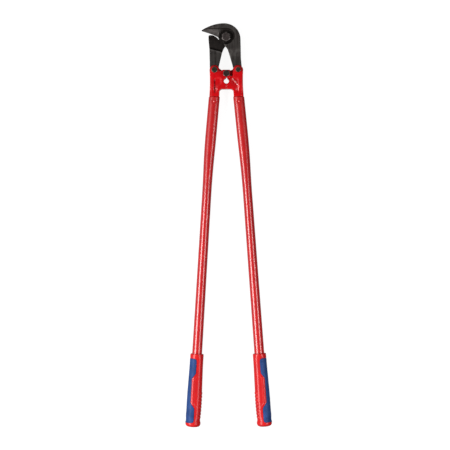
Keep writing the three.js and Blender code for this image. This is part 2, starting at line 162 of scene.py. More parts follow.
# Along the grip, a span is where something starts, is full, falls and ends
RIB_SPAN = (84, 89, 150, 155)
RIB_START = 88  # where one of the ribs begins
RIB_ANGLE = 2.3  # radians from the grip's outer side, where the ribs' zone starts
RIB_HEIGHT = 1.5
RIB_SUNK = 0.6
RIB_PITCH = 8.1
LIP = (4.7, 2.6, 0.75)  # middle, from the soft zone's edge, half width and height
LIP_SPAN = (46, 60, 116, 130)
FACE_FLAT = 1.1  # how far the front and the back of a grip are pressed flat
FACE_ANGLE = math.radians(98.7)  # where a face is flattest, from the grip's outer side
FACE_HALF = 6
FACE_SPAN = (2, 12, 147, 157)
INLAY_TOP = 11.3
INLAY_BOTTOM = 161.5
INLAY_CORNER = 6
INLAY_X = (-0.7, 8.2, -2)  # how far out it begins, in its upper lobe, its waist and its lower lobe
WAIST_SPAN = (43, 60, 112, 130)
INLAY_DEPTH = 2.2
INLAY_ROUND = 1.1
INLAY_PROUD = 0.3  # how far the soft face stands over the grip's plain shape
INLAY_SWELL = (147, 9, 0.9)  # middle, half width and height of its swelling near the end
SOFT_COLUMNS = 30  # points of a ring across the soft zone
HARD_COLUMNS = 74  # points of a ring round the hard side
LEAN = math.atan(SLOPE_LOWER)

# Fasteners
BLADE_BOLT = {"r": 7, "flats": 9.4, "low": BASE_Z + 0.4, "seat": SEAT_Z, "high": 15.5}
LEFT_LINK_BOLT = {"r": SHANK_R, "flats": 6.3, "low": -17.2, "seat": LEVER_HALF, "high": 17.3}
RIGHT_LINK_BOLT = LEFT_LINK_BOLT | {"flats": 5.4}
LEVER_BOLT = LEFT_LINK_BOLT | {"flats": 7.2, "high": 17.8}
BLADE_NUT = {"flats": 9.5, "low": BASE_Z, "washer_r": 11.2, "washer": 1.5, "seat": REAR_SEAT_Z - GAP}
LEVER_NUT = {"flats": 6.5, "low": -17.6, "washer_r": 7.6, "washer": 1.2, "seat": -LEVER_HALF - GAP}
HEX_COLUMNS = 60  # points of a ring of a fastener

# Camera and light
CAMERA_HEIGHT = 4.0  # metres over the floor
VIEW_WIDTH = 1.0557  # metres across the picture, at the tool's middle plane
VIEW_MIDDLE = (-0.0055, 0.0012)  # metres
VIEW_TURN = -0.0066  # radians
# Brightness of the studio against the sine of the height above the horizon
STUDIO_LIGHT = [(-1, 0.34), (-0.3, 0.26), (0.02, 0.1), (0.3, 0.2), (0.5, 0.6), (0.74, 0.6), (0.93, 0.1)]
STUDIO_SIDES = (1.45, 0.25)  # how bright the studio's left and right ends are

# ---- Numbers and outlines ----


def ramp(values, start, end, high=1):
    """0 at the start and before it, the full height at the end and past it, and a soft climb between."""
    t = np.clip((values - start) / (end - start), 0, 1)
    return t * t * (3 - 2 * t) * high


def within(values, start, full, falling, end):
    """1 between the middle two values, 0 outside the outer two, and soft climbs between."""
    return ramp(values, start, full) * ramp(values, end, falling)


def bell(values, middle, half_width, high):
    return np.exp(-(((values - middle) / half_width) ** 2)) * high


def quarter(share):
    """The fall along a quarter circle, from 0 where it is level to 1 where it is upright."""
    return 1 - np.sqrt(1 - np.clip(share, 0, 1) ** 2)


def mix(a, b, share):
    return a + (b - a) * share


def bezier(*controls, steps=14):
    """The points of one Bezier curve, without its first point."""
    points = []
    for t in np.linspace(0, 1, steps + 1)[1:]:
        level = [np.array(control, float) for control in controls]
        while len(level) > 1:
            level = [mix(a, b, t) for a, b in zip(level, level[1:])]
        points.append(tuple(level[0]))
    return points


def arc(x, y, r, start, end, steps=24):
    angles = np.linspace(start, end, steps + 1)
    return [(x + r * math.cos(a), y + r * math.sin(a)) for a in angles]


def circle(x, y, r, steps=72):
    return arc(x, y, r, 0, 2 * pi, steps)[:-1]


def evenly(points, spacing, closed=True):
    """The same outline, with points added where two neighbours are further apart than the spacing."""
    ends = points[1:] + points[:1] if closed else points[1:]
    result = []
    for a, b in zip(points, ends):
        pieces = max(1, math.ceil(math.dist(a, b) / spacing))
        result += [tuple(mix(np.array(a), np.array(b), i / pieces)) for i in range(pieces)]
    return result if closed else result + [points[-1]]


def distance(places, starts, ends):
    """How far each place is from the nearest of some straight segments."""
    nearest = np.full(len(places), np.inf)
    for a, b in zip(starts, ends):
        along = b - a
        share = np.clip((places - a) @ along / max(along @ along, 1e-12), 0, 1)
        nearest = np.minimum(nearest, np.hypot(*(places - a - share[:, None] * along).T))
    return nearest


def line_distance(places, points):
    points = np.array(points)
    return distance(places, points[:-1], points[1:])


def covered(places, loop):
    """Which places lie inside a closed outline."""
    inside = np.zeros(len(places), bool)
    x, y = places.T
    for (x1, y1), (x2, y2) in zip(loop, loop[1:] + loop[:1]):
        if y1 != y2:
            crosses = (y1 > y) != (y2 > y)
            inside ^= crosses & (x < (x2 - x1) * (y - y1) / (y2 - y1) + x1)
    return inside


def depth_in(places, loop):
    """How deep each place lies inside a closed outline, below 0 outside it."""
    reach = line_distance(places, loop + loop[:1])
    return np.where(covered(places, loop), reach, -reach)


def depth_in_disc(places, r, y=0):
    """The same for a disc on the centre line."""
    return r - np.hypot(places[:, 0], places[:, 1] - y)


def left_of(places, line):
    """How far each place lies to the left of a line, given as a point and its angle to the x axis."""
    x, y, turn = line
    return (places[:, 1] - y) * math.cos(turn) - (places[:, 0] - x) * math.sin(turn)


def step(depth, width=STEP):
    return np.clip(0.5 + depth / width, 0, 1)


def beside(line, offset, reach=90):
    """A straight run of points along a line, moved to its left by the offset."""
    x, y, turn = line
    x, y = x - math.sin(turn) * offset, y + math.cos(turn) * offset
    ends = [(x + s * reach * math.cos(turn), y + s * reach * math.sin(turn)) for s in (-1, 1)]
    return evenly(ends, 1.5, closed=False)


def ring_pair(r, y=0, width=STEP):
    """The two closed circles on either side of a steep round step on the centre line."""
    pair = [circle(0, y, r + s * width / 2) for s in (-1, 1)]
    return [ring + ring[:1] for ring in pair]


def shifted(line, by):
    """An open line moved to its right."""
    points = np.array(evenly(line, 1, closed=False))
    along = np.gradient(points, axis=0)
    rightwards = np.column_stack([along[:, 1], -along[:, 0]]) / np.hypot(*along.T)[:, None]
    return [tuple(p) for p in points + rightwards * by]


def grown(loop, by):
    """A closed outline moved outwards, drawn as a line that ends where it began."""
    points = shifted(loop + loop[:1], by)[:-1]
    return points + points[:1]


# ---- Meshes ----


def chained(loops, lines):
    """The points of closed loops and open lines in one list, and the edges between them."""
    points, edges = [], []
    for chain, closed in [(loop, True) for loop in loops] + [(line, False) for line in lines]:
        first = len(points)
        points += chain
        edges += [(first + i, first + i + 1) for i in range(len(chain) - 1)]
        if closed:
            edges.append((len(points) - 1, first))
    return points, edges


def plate(points, edges, solids, holes):
    """Counter-clockwise triangles through the points, inside any solid outline and in none of the holes."""
    places, _, faces, *_ = delaunay_2d_cdt([Vector(p) for p in points], edges, [], 0, 1e-5)
    places, faces = np.array([tuple(v) for v in places]), np.array([tuple(f) for f in faces])
    middles = places[faces].mean(1)
    keep = np.any([covered(middles, loop) for loop in solids], axis=0)
    for loop in holes:
        keep &= ~covered(middles, loop)
    a, b, c = (places[faces[:, i]] for i in range(3))
    turn = (b[:, 0] - a[:, 0]) * (c[:, 1] - a[:, 1]) - (b[:, 1] - a[:, 1]) * (c[:, 0] - a[:, 0])
    faces[turn < 0] = faces[turn < 0][:, ::-1]
    return places, faces[keep & (abs(turn) > 1e-9)]


def rim_of(faces):
    """The edges that only one triangle has, each in that triangle's direction."""
    pairs = np.concatenate([faces[:, [0, 1]], faces[:, [1, 2]], faces[:, [2, 0]]])
    keys = np.sort(pairs, axis=1)
    _, where, counts = np.unique(keys, axis=0, return_index=True, return_counts=True)
    return pairs[where[counts == 1]]


def relief(solids, holes, lines, front, back, rounding, spacing=1.7):
    """A plate between two height functions, with its rims rounded over.

    lines are where a face has a crease or a step, so that the triangles follow it.
    """
    solids = [evenly(loop, spacing * 0.7) for loop in solids]
    holes = [evenly(loop, spacing * 0.7) for loop in holes]
    lines = [evenly(line, spacing * 0.7, closed=False) for line in lines]
    bare, faces = plate(*chained(solids + holes, []), solids, holes)
    rim = rim_of(faces)
    starts, ends = bare[rim[:, 0]], bare[rim[:, 1]]

    # Rows of points that follow the rounding of the rims
    inward = np.zeros_like(bare)
    for first, second in rim:
        along = bare[second] - bare[first]
        normal = np.array([-along[1], along[0]]) / np.hypot(*along)
        inward[first] += normal
        inward[second] += normal
    used = np.unique(rim)
    inward = inward[used] / np.maximum(np.hypot(*inward[used].T), 1e-6)[:, None]
    rows = []
    for share in (0.08, 0.3, 0.62, 1):
        row = bare[used] + inward * rounding * share
        rows.append(row[distance(row, starts, ends) > rounding * share * 0.9])

    # An even grid over the rest
    low, high = bare.min(0), bare.max(0)
    pitch = spacing * math.sqrt(0.75)
    grid = []
    for j, y in enumerate(np.arange(low[1], high[1], pitch)):
        across = np.arange(low[0] + (j % 2) * spacing / 2, high[0], spacing)
        grid += [(x, y) for x in across]
    grid = np.array(grid)
    free = distance(grid, starts, ends) > rounding + 0.5 * spacing
    for line in lines:
        free &= line_distance(grid, line) > 0.45 * spacing
    inside = np.any([covered(grid, loop) for loop in solids], axis=0)
    grid = grid[free & inside]

    # The two faces, rounded over at their rims, and the walls between them
    points, edges = chained(solids + holes, lines)
    points += [tuple(p) for p in np.concatenate(rows + [grid])]
    places, faces = plate(points, edges, solids, holes)
    rim = rim_of(faces)
    depth = distance(places, starts, ends)
    top, bottom = front(places), back(places)
    bottom = np.minimum(bottom, top - 2 * STEP)
    local = np.minimum(rounding, 0.42 * (top - bottom))
    drop = local * quarter(1 - depth / local)
    count = len(places)
    points = np.concatenate([np.column_stack([places, z]) for z in (top - drop, bottom + drop)])
    walls = [(a + count, b + count, b, a) for a, b in rim]
    return points, [tuple(f) for f in faces] + [tuple(f[::-1] + count) for f in faces] + walls


def skin(rings, closed=False):
    """A surface through rings of equally many points. It closes on itself, or ends in two caps."""
    sides = len(rings[0])
    points = np.concatenate(rings)
    faces = []
    for i in range(len(rings) if closed else len(rings) - 1):
        near, far = i * sides, (i + 1) % len(rings) * sides
        for j in range(sides):
            k = (j + 1) % sides
            faces.append((near + j, near + k, far + k, far + j))
    if closed:
        return points, faces
    centres = [np.mean(rings[0], axis=0), np.mean(rings[-1], axis=0)]
    first, last = len(points), (len(rings) - 1) * sides
    for j in range(sides):
        k = (j + 1) % sides
        faces.append((first, k, j))
        faces.append((first + 1, last + j, last + k))
    return np.concatenate([points, centres]), faces


def lathe(x, y, profile, sides=72, closed=False):
    """A shape turned about the upright through (x, y), from radii and levels, each a number or a row."""
    angles = np.arange(sides) / sides * 2 * pi
    rings = []
    for r, z in profile:
        level = np.broadcast_to(z, sides)
        rings.append(np.column_stack([x + r * np.cos(angles), y + r * np.sin(angles), level]))
    return skin(rings, closed)


def rough_object(name, shape):
    """An object from a shape in millimetres about the blade pivot."""
    points, faces = shape
    mesh = bpy.data.meshes.new(name)
    mesh.from_pydata((np.asarray(points) * MM + np.array(PIVOT)).tolist(), [], faces)
    solid = bmesh.new()
    solid.from_mesh(mesh)
    loose = [v for v in solid.verts if not v.link_faces]
    bmesh.ops.delete(solid, geom=loose, context="VERTS")
    bmesh.ops.recalc_face_normals(solid, faces=solid.faces)
    solid.to_mesh(mesh)
    solid.free()
    obj = bpy.data.objects.new(name, mesh)
    bpy.context.scene.collection.objects.link(obj)
    return obj


def combine(obj, shape, operation):
    """Cuts a shape off the object, or adds it."""
    tool = rough_object("tool", shape)
    boolean = obj.modifiers.new("boolean", "BOOLEAN")
    boolean.operation = operation
    boolean.solver = "EXACT"
    boolean.object = tool
    seen = obj.evaluated_get(bpy.context.evaluated_depsgraph_get())
    mesh = bpy.data.meshes.new_from_object(seen)
    obj.modifiers.clear()
    obj.data = mesh
    bpy.data.objects.remove(tool)


def mark_edges(mesh, spread=2):
    """Keeps how sharply each point stands out in the attribute edge, for wear on the rims and painted shade
    in the hollows.
    """
    solid = bmesh.new()
    solid.from_mesh(mesh)
    value = {}
    for v in solid.verts:
        arms = [(v.co - e.other_vert(v).co).normalized() for e in v.link_edges]
        value[v.index] = sum(v.normal.dot(arm) for arm in arms) / max(len(arms), 1)
    for _ in range(spread):
        old = dict(value)
        for v in solid.verts:
            near = [old[e.other_vert(v).index] for e in v.link_edges]
            value[v.index] = 0.5 * old[v.index] + 0.5 * sum(near) / max(len(near), 1)
    solid.free()
    attribute = mesh.attributes.new("edge", "FLOAT", "POINT")
    attribute.data.foreach_set("value", [value[i] for i in range(len(mesh.vertices))])


def made(name, shape, body, materials, node, sharp=35, zone=None, changes=()):
    """A piece in the place of its CAD node, from a shape in millimetres about the blade pivot.

    The changes are shapes cut off it or added. zone gives each face's material from its middle.
    """
    obj = rough_object(name, shape)
    for operation, tool in changes:
        combine(obj, tool, operation)
    mesh = obj.data
    mesh.materials.clear()
    for material in materials:
        mesh.materials.append(material)
    if zone:
        middles = np.array([tuple(face.center) for face in mesh.polygons])
        numbers = zone((middles - np.array(PIVOT)) / MM)
        mesh.polygons.foreach_set("material_index", numbers.astype(int))
    mesh.shade_smooth()
    mesh.set_sharp_from_angle(angle=math.radians(sharp))
    mark_edges(mesh)
    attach(obj, body)
    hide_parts(node)


# ---- Materials ----


class Nodes:
    """Builds the node tree of a material or a world."""

    def __init__(self, owner, coordinates="Object"):
        owner.use_nodes = True
        self.owner = owner
        self.tree = owner.node_tree
        self.place = self.node("TexCoord", coordinates)
        self.shader = self.tree.nodes.get("Principled BSDF")  # only a material has one

    def put(self, socket, source):
        if isinstance(source, bpy.types.NodeSocket):
            self.tree.links.new(source, socket)
        else:
            socket.default_value = source

    def node(self, kind, output, sockets=(), **settings):
        """Adds a node with its settings and its sockets, and gives one of its outputs."""
        node = self.tree.nodes.new("ShaderNode" + kind)
        for name, value in settings.items():
            setattr(node, name, value)
        for name, source in dict(sockets).items():
            self.put(node.inputs[name], source)
        return node.outputs[output]

    def noise(self, size_mm, detail=3, rough=0.55, stretch=(1, 1, 1)):
        place = self.node("Mapping", "Vector", {"Vector": self.place, "Scale": stretch})
        look = {"Scale": 1 / (size_mm * MM), "Detail": detail, "Roughness": rough, "Vector": place}
        return self.node("TexNoise", "Fac", look)

    def ranged(self, source, low, high, to_low=0.0, to_high=1.0):
        ends = {"From Min": low, "From Max": high, "To Min": to_low, "To Max": to_high}
        return self.node("MapRange", "Result", {"Value": source} | ends)

    def base(self, source, low, high, dark, light):
        """Starts the colour: dark where the source is low, light where it is high."""
        self.colour = (*dark, 1)
        self.over(self.ranged(source, low, high), light)

    def over(self, share, colour):
        """Lays another colour over the colour so far."""
        sockets = {"Factor": share, "A": self.colour, "B": (*colour, 1)}
        self.colour = self.node("Mix", "Result", sockets, data_type="RGBA")

    def rims(self, low, high):
        """The attribute edge between two levels. Levels below 0 give the inside corners."""
        edge = self.node("Attribute", "Fac", attribute_name="edge")
        return self.ranged(edge, low, high)

    def worn(self, low, high, breaks):
        """How worn a rim is, broken up by a noise."""
        factors = {0: self.rims(low, high), 1: self.ranged(breaks, 0.42, 0.6)}
        return self.node("Math", "Value", factors, operation="MULTIPLY")

    def bump(self, *layers):
        """Stacks height layers, each a source and its height in millimetres."""
        under = {}
        for source, height in layers:
            sockets = {"Strength": 1, "Distance": height * MM, "Height": source}
            under = {"Normal": self.node("Bump", "Normal", sockets | under)}
        self.put(self.shader.inputs["Normal"], under["Normal"])

    def finish(self, source, smoothest, roughest, fixed):
        """Sets the shader's sockets: the colour, the roughness from a source, and the fixed ones."""
        roughness = self.ranged(source, 0.3, 0.7, smoothest, roughest)
        for name, value in ({"Base Color": self.colour, "Roughness": roughness} | fixed).items():
            self.put(self.shader.inputs[name], value)
        return self.owner


def new_material(name):
    return Nodes(bpy.data.materials.new(name))


def forged_steel(name, tone):
    """Burnished forged steel, its grain and streaks along the tangs. The tone scales its brightness."""
    n = new_material(name)
    blotch = n.noise(9, 4)
    grain = n.noise(0.9, 3, 0.6)
    streaks = n.noise(5, 3, 0.6, stretch=(1, 0.07, 1))
    shades = [(0.034, 0.028, 0.026), (0.058, 0.049, 0.045), (0.084, 0.079, 0.073), (0.018, 0.014, 0.013)]
    dark, light, bright, black = (tuple(tone * level for level in shade) for shade in shades)
    n.base(blotch, 0.35, 0.65, dark, light)
    n.over(n.ranged(streaks, 0.42, 0.66, 0, 0.7), bright)
    n.over(n.ranged(streaks, 0.48, 0.3, 0, 0.7), black)
    n.over(n.worn(0.06, 0.35, blotch), (0.15, 0.135, 0.125))
    n.bump((blotch, 0.12), (streaks, 0.06), (grain, 0.05))
    return n.finish(grain, 0.36, 0.56, {"Metallic": 0.55})


def ground_steel():
    n = new_material("ground_steel")
    lines = n.noise(0.5, 2, 0.6, stretch=(1, 0.12, 1))
    cloud = n.noise(7, 3)
    n.base(cloud, 0.3, 0.7, (0.046, 0.039, 0.037), (0.078, 0.069, 0.066))
    n.over(n.ranged(lines, 0.4, 0.62, 0, 0.5), (0.115, 0.105, 0.1))
    n.bump((lines, 0.02), (cloud, 0.05))
    return n.finish(lines, 0.28, 0.45, {"Metallic": 0.75})


def oxide(name, dark, light):
    """The thin black finish of the fasteners, rubbed bright on their corners."""
    n = new_material(name)
    cloud = n.noise(4, 3)
    grain = n.noise(0.5, 2)
    n.base(cloud, 0.35, 0.65, dark, light)
    n.over(n.worn(0.1, 0.4, cloud), (0.22, 0.21, 0.2))
    n.bump((grain, 0.03))
    return n.finish(cloud, 0.28, 0.42, {"Metallic": 0.5})


def scale_and_shade_steel():
    """The black scale that stays where the forging isn't ground or rubbed bright, also laid on as painted
    shade along the crease, in the bolt seat and on the counter blade's jaw front.
    """
    n = new_material("black_scale_and_painted_shade")
    blotch = n.noise(6, 4)
    grain = n.noise(0.8, 3, 0.6)
    n.base(blotch, 0.35, 0.65, (0.006, 0.0035, 0.003), (0.015, 0.011, 0.009))
    n.over(n.worn(0.08, 0.4, blotch), (0.07, 0.06, 0.055))
    n.bump((blotch, 0.1), (grain, 0.05))
    dull = {"Metallic": 0.3, "Specular IOR Level": 0.3}
    return n.finish(grain, 0.45, 0.62, dull)


def pin_paint_painted_highlight():
    """A pin end painted over with the tube, in a lighter red than the tube that stands in as a painted
    highlight.
    """
    n = new_material("pin_paint_painted_highlight")
    cloud = n.noise(1.5, 2)
    n.base(cloud, 0.4, 0.65, (0.72, 0.03, 0.03), (0.85, 0.12, 0.11))
    n.bump((cloud, 0.03))
    return n.finish(cloud, 0.2, 0.35, {"Coat Weight": 0.5})


def painted(name, deep, light, chip, peel_mm, coat, coat_rough, coat_ior):
    """Glossy enamel with a soft unevenness, darkened in its hollows as painted shade, worn along its rims.
    """
    n = new_material(name)
    cloud = n.noise(22, 3)
    peel = n.noise(peel_mm, 2, 0.4)
    breaks = n.noise(5, 4, 0.6)
    n.base(cloud, 0.35, 0.65, deep, light)
    # Painted shade: hollows and inside corners are darkened towards a deep maroon, where shade would fall
    n.over(n.rims(-0.02, -0.16), (0.09, 0.0, 0.003))
    n.over(n.worn(0.3, 0.6, breaks), chip)
    n.bump((cloud, 0.03), (peel, 0.02))
    glaze = {"Specular IOR Level": 0.2, "Coat Weight": coat, "Coat Roughness": coat_rough}
    return n.finish(breaks, 0.2, 0.32, glaze | {"Coat IOR": coat_ior})


def rubbed_enamel():
    """Enamel rubbed down to its pale primer in broken patches."""
    n = new_material("rubbed_enamel")
    patches = n.noise(2.6, 2, 0.6)
    fine = n.noise(0.8, 3)
    n.base(patches, 0.46, 0.58, (0.5, 0.01, 0.016), (0.82, 0.42, 0.4))
    n.over(n.ranged(fine, 0.4, 0.7, 0, 0.4), (0.6, 0.05, 0.06))
    n.bump((patches, 0.05), (fine, 0.02))
    return n.finish(fine, 0.25, 0.4, {"Coat Weight": 0.4})


def hard_plastic():
    n = new_material("red_hard_plastic")
    cloud = n.noise(30, 2)
    grain = n.noise(0.7, 2)
    scuff = n.noise(3, 4, 0.65, stretch=(1, 0.2, 1))
    n.base(cloud, 0.35, 0.65, (0.53, 0.007, 0.009), (0.62, 0.01, 0.011))
    # Painted shade: inside corners, such as the edge of the sunk rib zone, are darkened towards a deep red
    # where shade would fall
    n.over(n.rims(-0.02, -0.16), (0.12, 0.001, 0.003))
    n.over(n.worn(0.2, 0.55, scuff), (0.72, 0.04, 0.04))
    n.bump((cloud, 0.08), (grain, 0.02))
    glaze = {"Specular IOR Level": 0.12, "Coat Weight": 0.5, "Coat Roughness": 0.3, "Coat IOR": 1.5}
    return n.finish(scuff, 0.3, 0.42, glaze)


def soft_plastic():
    n = new_material("blue_soft_plastic")
    cloud = n.noise(18, 3)
    grain = n.noise(0.55, 3, 0.6)
    n.base(cloud, 0.3, 0.7, (0.014, 0.042, 0.15), (0.025, 0.068, 0.225))
    n.over(n.worn(0.15, 0.5, cloud), (0.04, 0.1, 0.3))
    n.bump((cloud, 0.08), (grain, 0.06))
    return n.finish(grain, 0.45, 0.62, {"Specular IOR Level": 0.18})


HOOK_STEEL = forged_steel("forged_steel", 1)
COUNTER_STEEL = forged_steel("darker_forged_steel", 0.8)
GROUND = ground_steel()
OXIDE = oxide("black_oxide", (0.026, 0.029, 0.018), (0.048, 0.05, 0.034))
BROWN_OXIDE = oxide("brown_oxide", (0.052, 0.04, 0.039), (0.082, 0.066, 0.063))
# Dark oxide with a red tint, which is partly a painted reflection of the red castings round the lever pivot
# bolt
OXIDE_RED_REFLECTION = oxide("oxide_painted_red_reflection", (0.036, 0.02, 0.017), (0.058, 0.034, 0.03))
# The pin ends: tube red, made lighter as a painted highlight
PIN_PAINT_AND_HIGHLIGHT = pin_paint_painted_highlight()
# Black scale, also used as painted shade along the crease, in the bolt seat and on the counter blade's jaw
# front
SCALE_AND_SHADE = scale_and_shade_steel()
ENAMEL = painted(
    "red_enamel", (0.49, 0.0012, 0.0035), (0.61, 0.002, 0.0055), (0.1, 0.03, 0.03), 1.6, 0.45, 0.2, 1.5
)
# Painted shade: a darker enamel for the strip in the left lever's groove, where the rib's shade falls
GROOVE_SHADE_ENAMEL = painted(
    "painted_groove_shade_enamel", (0.29, 0.0006, 0.003), (0.39, 0.001, 0.0045), (0.1, 0.03, 0.03), 1.6, 0.2, 0.35, 1.5
)
PAINT = painted(
    "red_tube_paint", (0.47, 0.006, 0.008), (0.55, 0.009, 0.01), (0.3, 0.02, 0.02), 2.4, 0.9, 0.26, 1.7
)
RUBBED = rubbed_enamel()
RED = hard_plastic()
BLUE = soft_plastic()

# ---- Blades ----

CREASE = (
    [(-70, 11.5)]
    + bezier((-70, 11.5), (-58, 16), (-52, 21), (-40, 21))
    + bezier((-40, 21), (-28, 21.1), (-15, 21.1), (-2, 21.1))
    + bezier((-2, 21.1), (12, 21.2), (20.6, 13), (20.3, 2))
    + bezier((20.3, 2), (20.1, -3), (18.5, -6), (15.2, -8.6))
)
CREASE_ZONE = CREASE + [(0, -10), (-5.5, -15.8), (-20, -30), (-70, -30)]
SWEEP_SHOULDER = [(-9, -8), (-9, -33), (3.6, -33), (5.4, -27), (6.9, -22.4), (12, -8)]


def hook_outline():
    return (
        [(-56.6, 14.4)]
        + bezier((-56.6, 14.4), (-58.6, 15.6), (-56.6, 17), steps=6)
        + bezier((-56.6, 17), (-45, 24.5), (-25, 31.7), (-5.2, 31.7), steps=40)
        + bezier((-5.2, 31.7), (16, 31.7), (33.3, 17), (33.7, -6), steps=40)
        + [(34.4, -50), (LINK_X + EYE_R - 1.2, LINK_Y + 4)]
        + arc(LINK_X - 0.6, LINK_Y, EYE_R, 0.3, -pi)
        + [(14.6, -66), (7.2, -40)]
        + bezier((7.2, -40), (4.2, -27), (-2.5, -22.4))
        + [(-11, -4), (-17, -4), (-19.2, 0)]
        + bezier((-19.2, 0), (-30, 6.8), (-56.6, 14.4), steps=30)[:-1]
    )


def hollow(past, left):
    """Height of a hollow grind at a place, from flat at the cutting edge to steep at the crease."""
    share = past / (past + left + 1e-6)
    return 0.45 * share + 0.55 * quarter(share)


def hook_half(p):
    """Half the hook's thickness: thin in the tang between the ears, and thinning to the beak's tip."""
    x, y = p.T
    return JAW_HALF - ramp(y, *TANG_SLOPE) - ramp(x, *TIP_SLOPE)


def hook_front(p):
    half = hook_half(p)
    to_crease = line_distance(p, CREASE)
    over_edge = np.maximum(left_of(p, HOOK_EDGE), 0)
    over_seat = np.maximum(-depth_in_disc(p, SEAT_R), 0)
    bevel = mix(EDGE_LAND, half, hollow(over_edge, to_crease))
    cone = mix(SEAT_Z, half, hollow(over_seat, to_crease))
    ground = mix(cone, bevel, ramp(p[:, 0] - JAW_ZONE_X, JAW_WALL[2], JAW_WALL[0]))
    face = np.where(covered(p, CREASE_ZONE), ground, half)
    inner, outer, deep = SEAT_GROOVE
    from_bolt = np.hypot(*p.T)
    groove = step(outer - from_bolt, SOFT_STEP) * step(from_bolt - inner, SOFT_STEP)
    return mix(face, SEAT_Z - deep * groove, step(depth_in_disc(p, SEAT_R)))


def hook_back(p):
    over_edge = np.maximum(left_of(p, HOOK_EDGE), 0)
    bevel = np.minimum(EDGE_LAND + over_edge * BEVEL, JAW_HALF)
    face = -np.minimum(hook_half(p), mix(JAW_HALF, bevel, step(JAW_ZONE_X - p[:, 0])))
    swept_by_counter = np.maximum(depth_in_disc(p, BOSS_R + GAP), depth_in(p, SWEEP_SHOULDER))
    return mix(face, LAP_Z + GAP, step(swept_by_counter))


def hook_zone(p):
    """1 on the ground bevels, 2 on the black scale of the crease, the seat and the lap behind, which is
    also painted shade along the crease and in the seat.
    """
    flat = p[:, :2]
    over_edge = left_of(flat, HOOK_EDGE)
    in_jaw = flat[:, 0] < JAW_ZONE_X + JAW_WALL[0]
    in_zone = covered(flat, CREASE_ZONE) & (p[:, 2] > 0)
    in_bevel = in_zone & (line_distance(flat, CREASE) > GROUND_FROM_CREASE)
    ground = in_jaw & (in_bevel | ((p[:, 2] < 0) & (over_edge < JAW_HALF / BEVEL)))
    in_seat = (np.hypot(*flat.T) < SEAT_R) & (p[:, 2] > LAP_Z + 1)
    # Painted shade: the crease band and the bolt seat get the black scale
    scale_and_shade = (in_zone | in_seat) & ~ground
    lap = (p[:, 2] < LAP_Z + 1) & (p[:, 2] > 0) & ~in_jaw
    return np.where(ground, 1, np.where(scale_and_shade | lap, 2, 0))


def hook_blade():
    holes = [circle(0, 0, BLADE_BOLT["r"] + GAP), circle(LINK_X, LINK_Y, SHANK_R + GAP, 40)]
    jaw_end = evenly([(JAW_ZONE_X, -20), (JAW_ZONE_X, 40)], 1.5, closed=False)
    lines = [CREASE, shifted(CREASE, GROUND_FROM_CREASE)]
    lines += [[(x + past, y) for x, y in jaw_end] for past in JAW_WALL]
    lines += ring_pair(SEAT_R) + ring_pair(BOSS_R + GAP)
    for r in SEAT_GROOVE[:2]:
        lines += ring_pair(r, width=SOFT_STEP)
    lines += [grown(SWEEP_SHOULDER, by) for by in (-STEP / 2, STEP / 2)]
    shape = relief([hook_outline()], holes, lines, hook_front, hook_back, 1.3)
    name, materials = "hook_blade", [HOOK_STEEL, GROUND, SCALE_AND_SHADE]
    made(f"{name}_forging", shape, name, materials, name, zone=hook_zone)


def counter_outline():
    return (
        [(-17.2, -5.5)]
        + bezier((-17.2, -5.5), (-24, 3.2), (-33, 5.2))
        + arc(-38.3, 2.2, 3, pi / 2, pi, 10)
        + [(-41.3, -6), (-39.3, -30), (-LINK_X - EYE_R - 0.9, LINK_Y + 2)]
        + arc(-LINK_X - 1, LINK_Y, EYE_R, pi, 2 * pi)
        + [(-17, -66), (-10.6, -40)]
        + bezier((-10.6, -40), (-7.6, -27), (-3.1, -22.4))
        + [(0, -16)]
    )


def counter_front(p):
    below_edge = np.maximum(-left_of(p, COUNTER_EDGE), 0)
    jaw = np.minimum(LAP_Z, EDGE_LAND + below_edge * COUNTER_FRONT_BEVEL)
    below_shoulder = -left_of(p, SHOULDER)
    jaw = jaw - ramp(below_shoulder, *SHOULDER_DIP)
    tang = TANG_HALF + bell(below_shoulder, *SHOULDER_RIDGE)
    face = mix(jaw, tang, ramp(below_shoulder, 0, SHOULDER_RIDGE[1]))
    return mix(face, LAP_Z, step(depth_in_disc(p, BOSS_R + GAP / 2)))


def counter_back(p):
    below_edge = np.maximum(-left_of(p, COUNTER_EDGE), 0)
    jaw = np.minimum(JAW_HALF, EDGE_LAND + below_edge * BEVEL)
    face = mix(jaw, TANG_HALF, step(-left_of(p, SHOULDER)))
    face = mix(face, JAW_HALF, step(depth_in_disc(p, BOSS_R)))
    return -mix(face, -REAR_SEAT_Z, step(depth_in_disc(p, REAR_SEAT_R)))


def counter_zone(p):
    """1 on the ground back of the edge, 2 on the black scale of the jaw's front and the lap, which is also
    painted shade on the jaw's front.
    """
    flat = p[:, :2]
    jaw = left_of(flat, SHOULDER) > -0.9
    disc = np.hypot(*flat.T) < BOSS_R + 0.2
    back_bevel = (p[:, 2] < 0) & (-left_of(flat, COUNTER_EDGE) < JAW_HALF / BEVEL) & ~disc
    return np.where(back_bevel, 1, np.where((jaw | disc) & (p[:, 2] > 0), 2, 0))


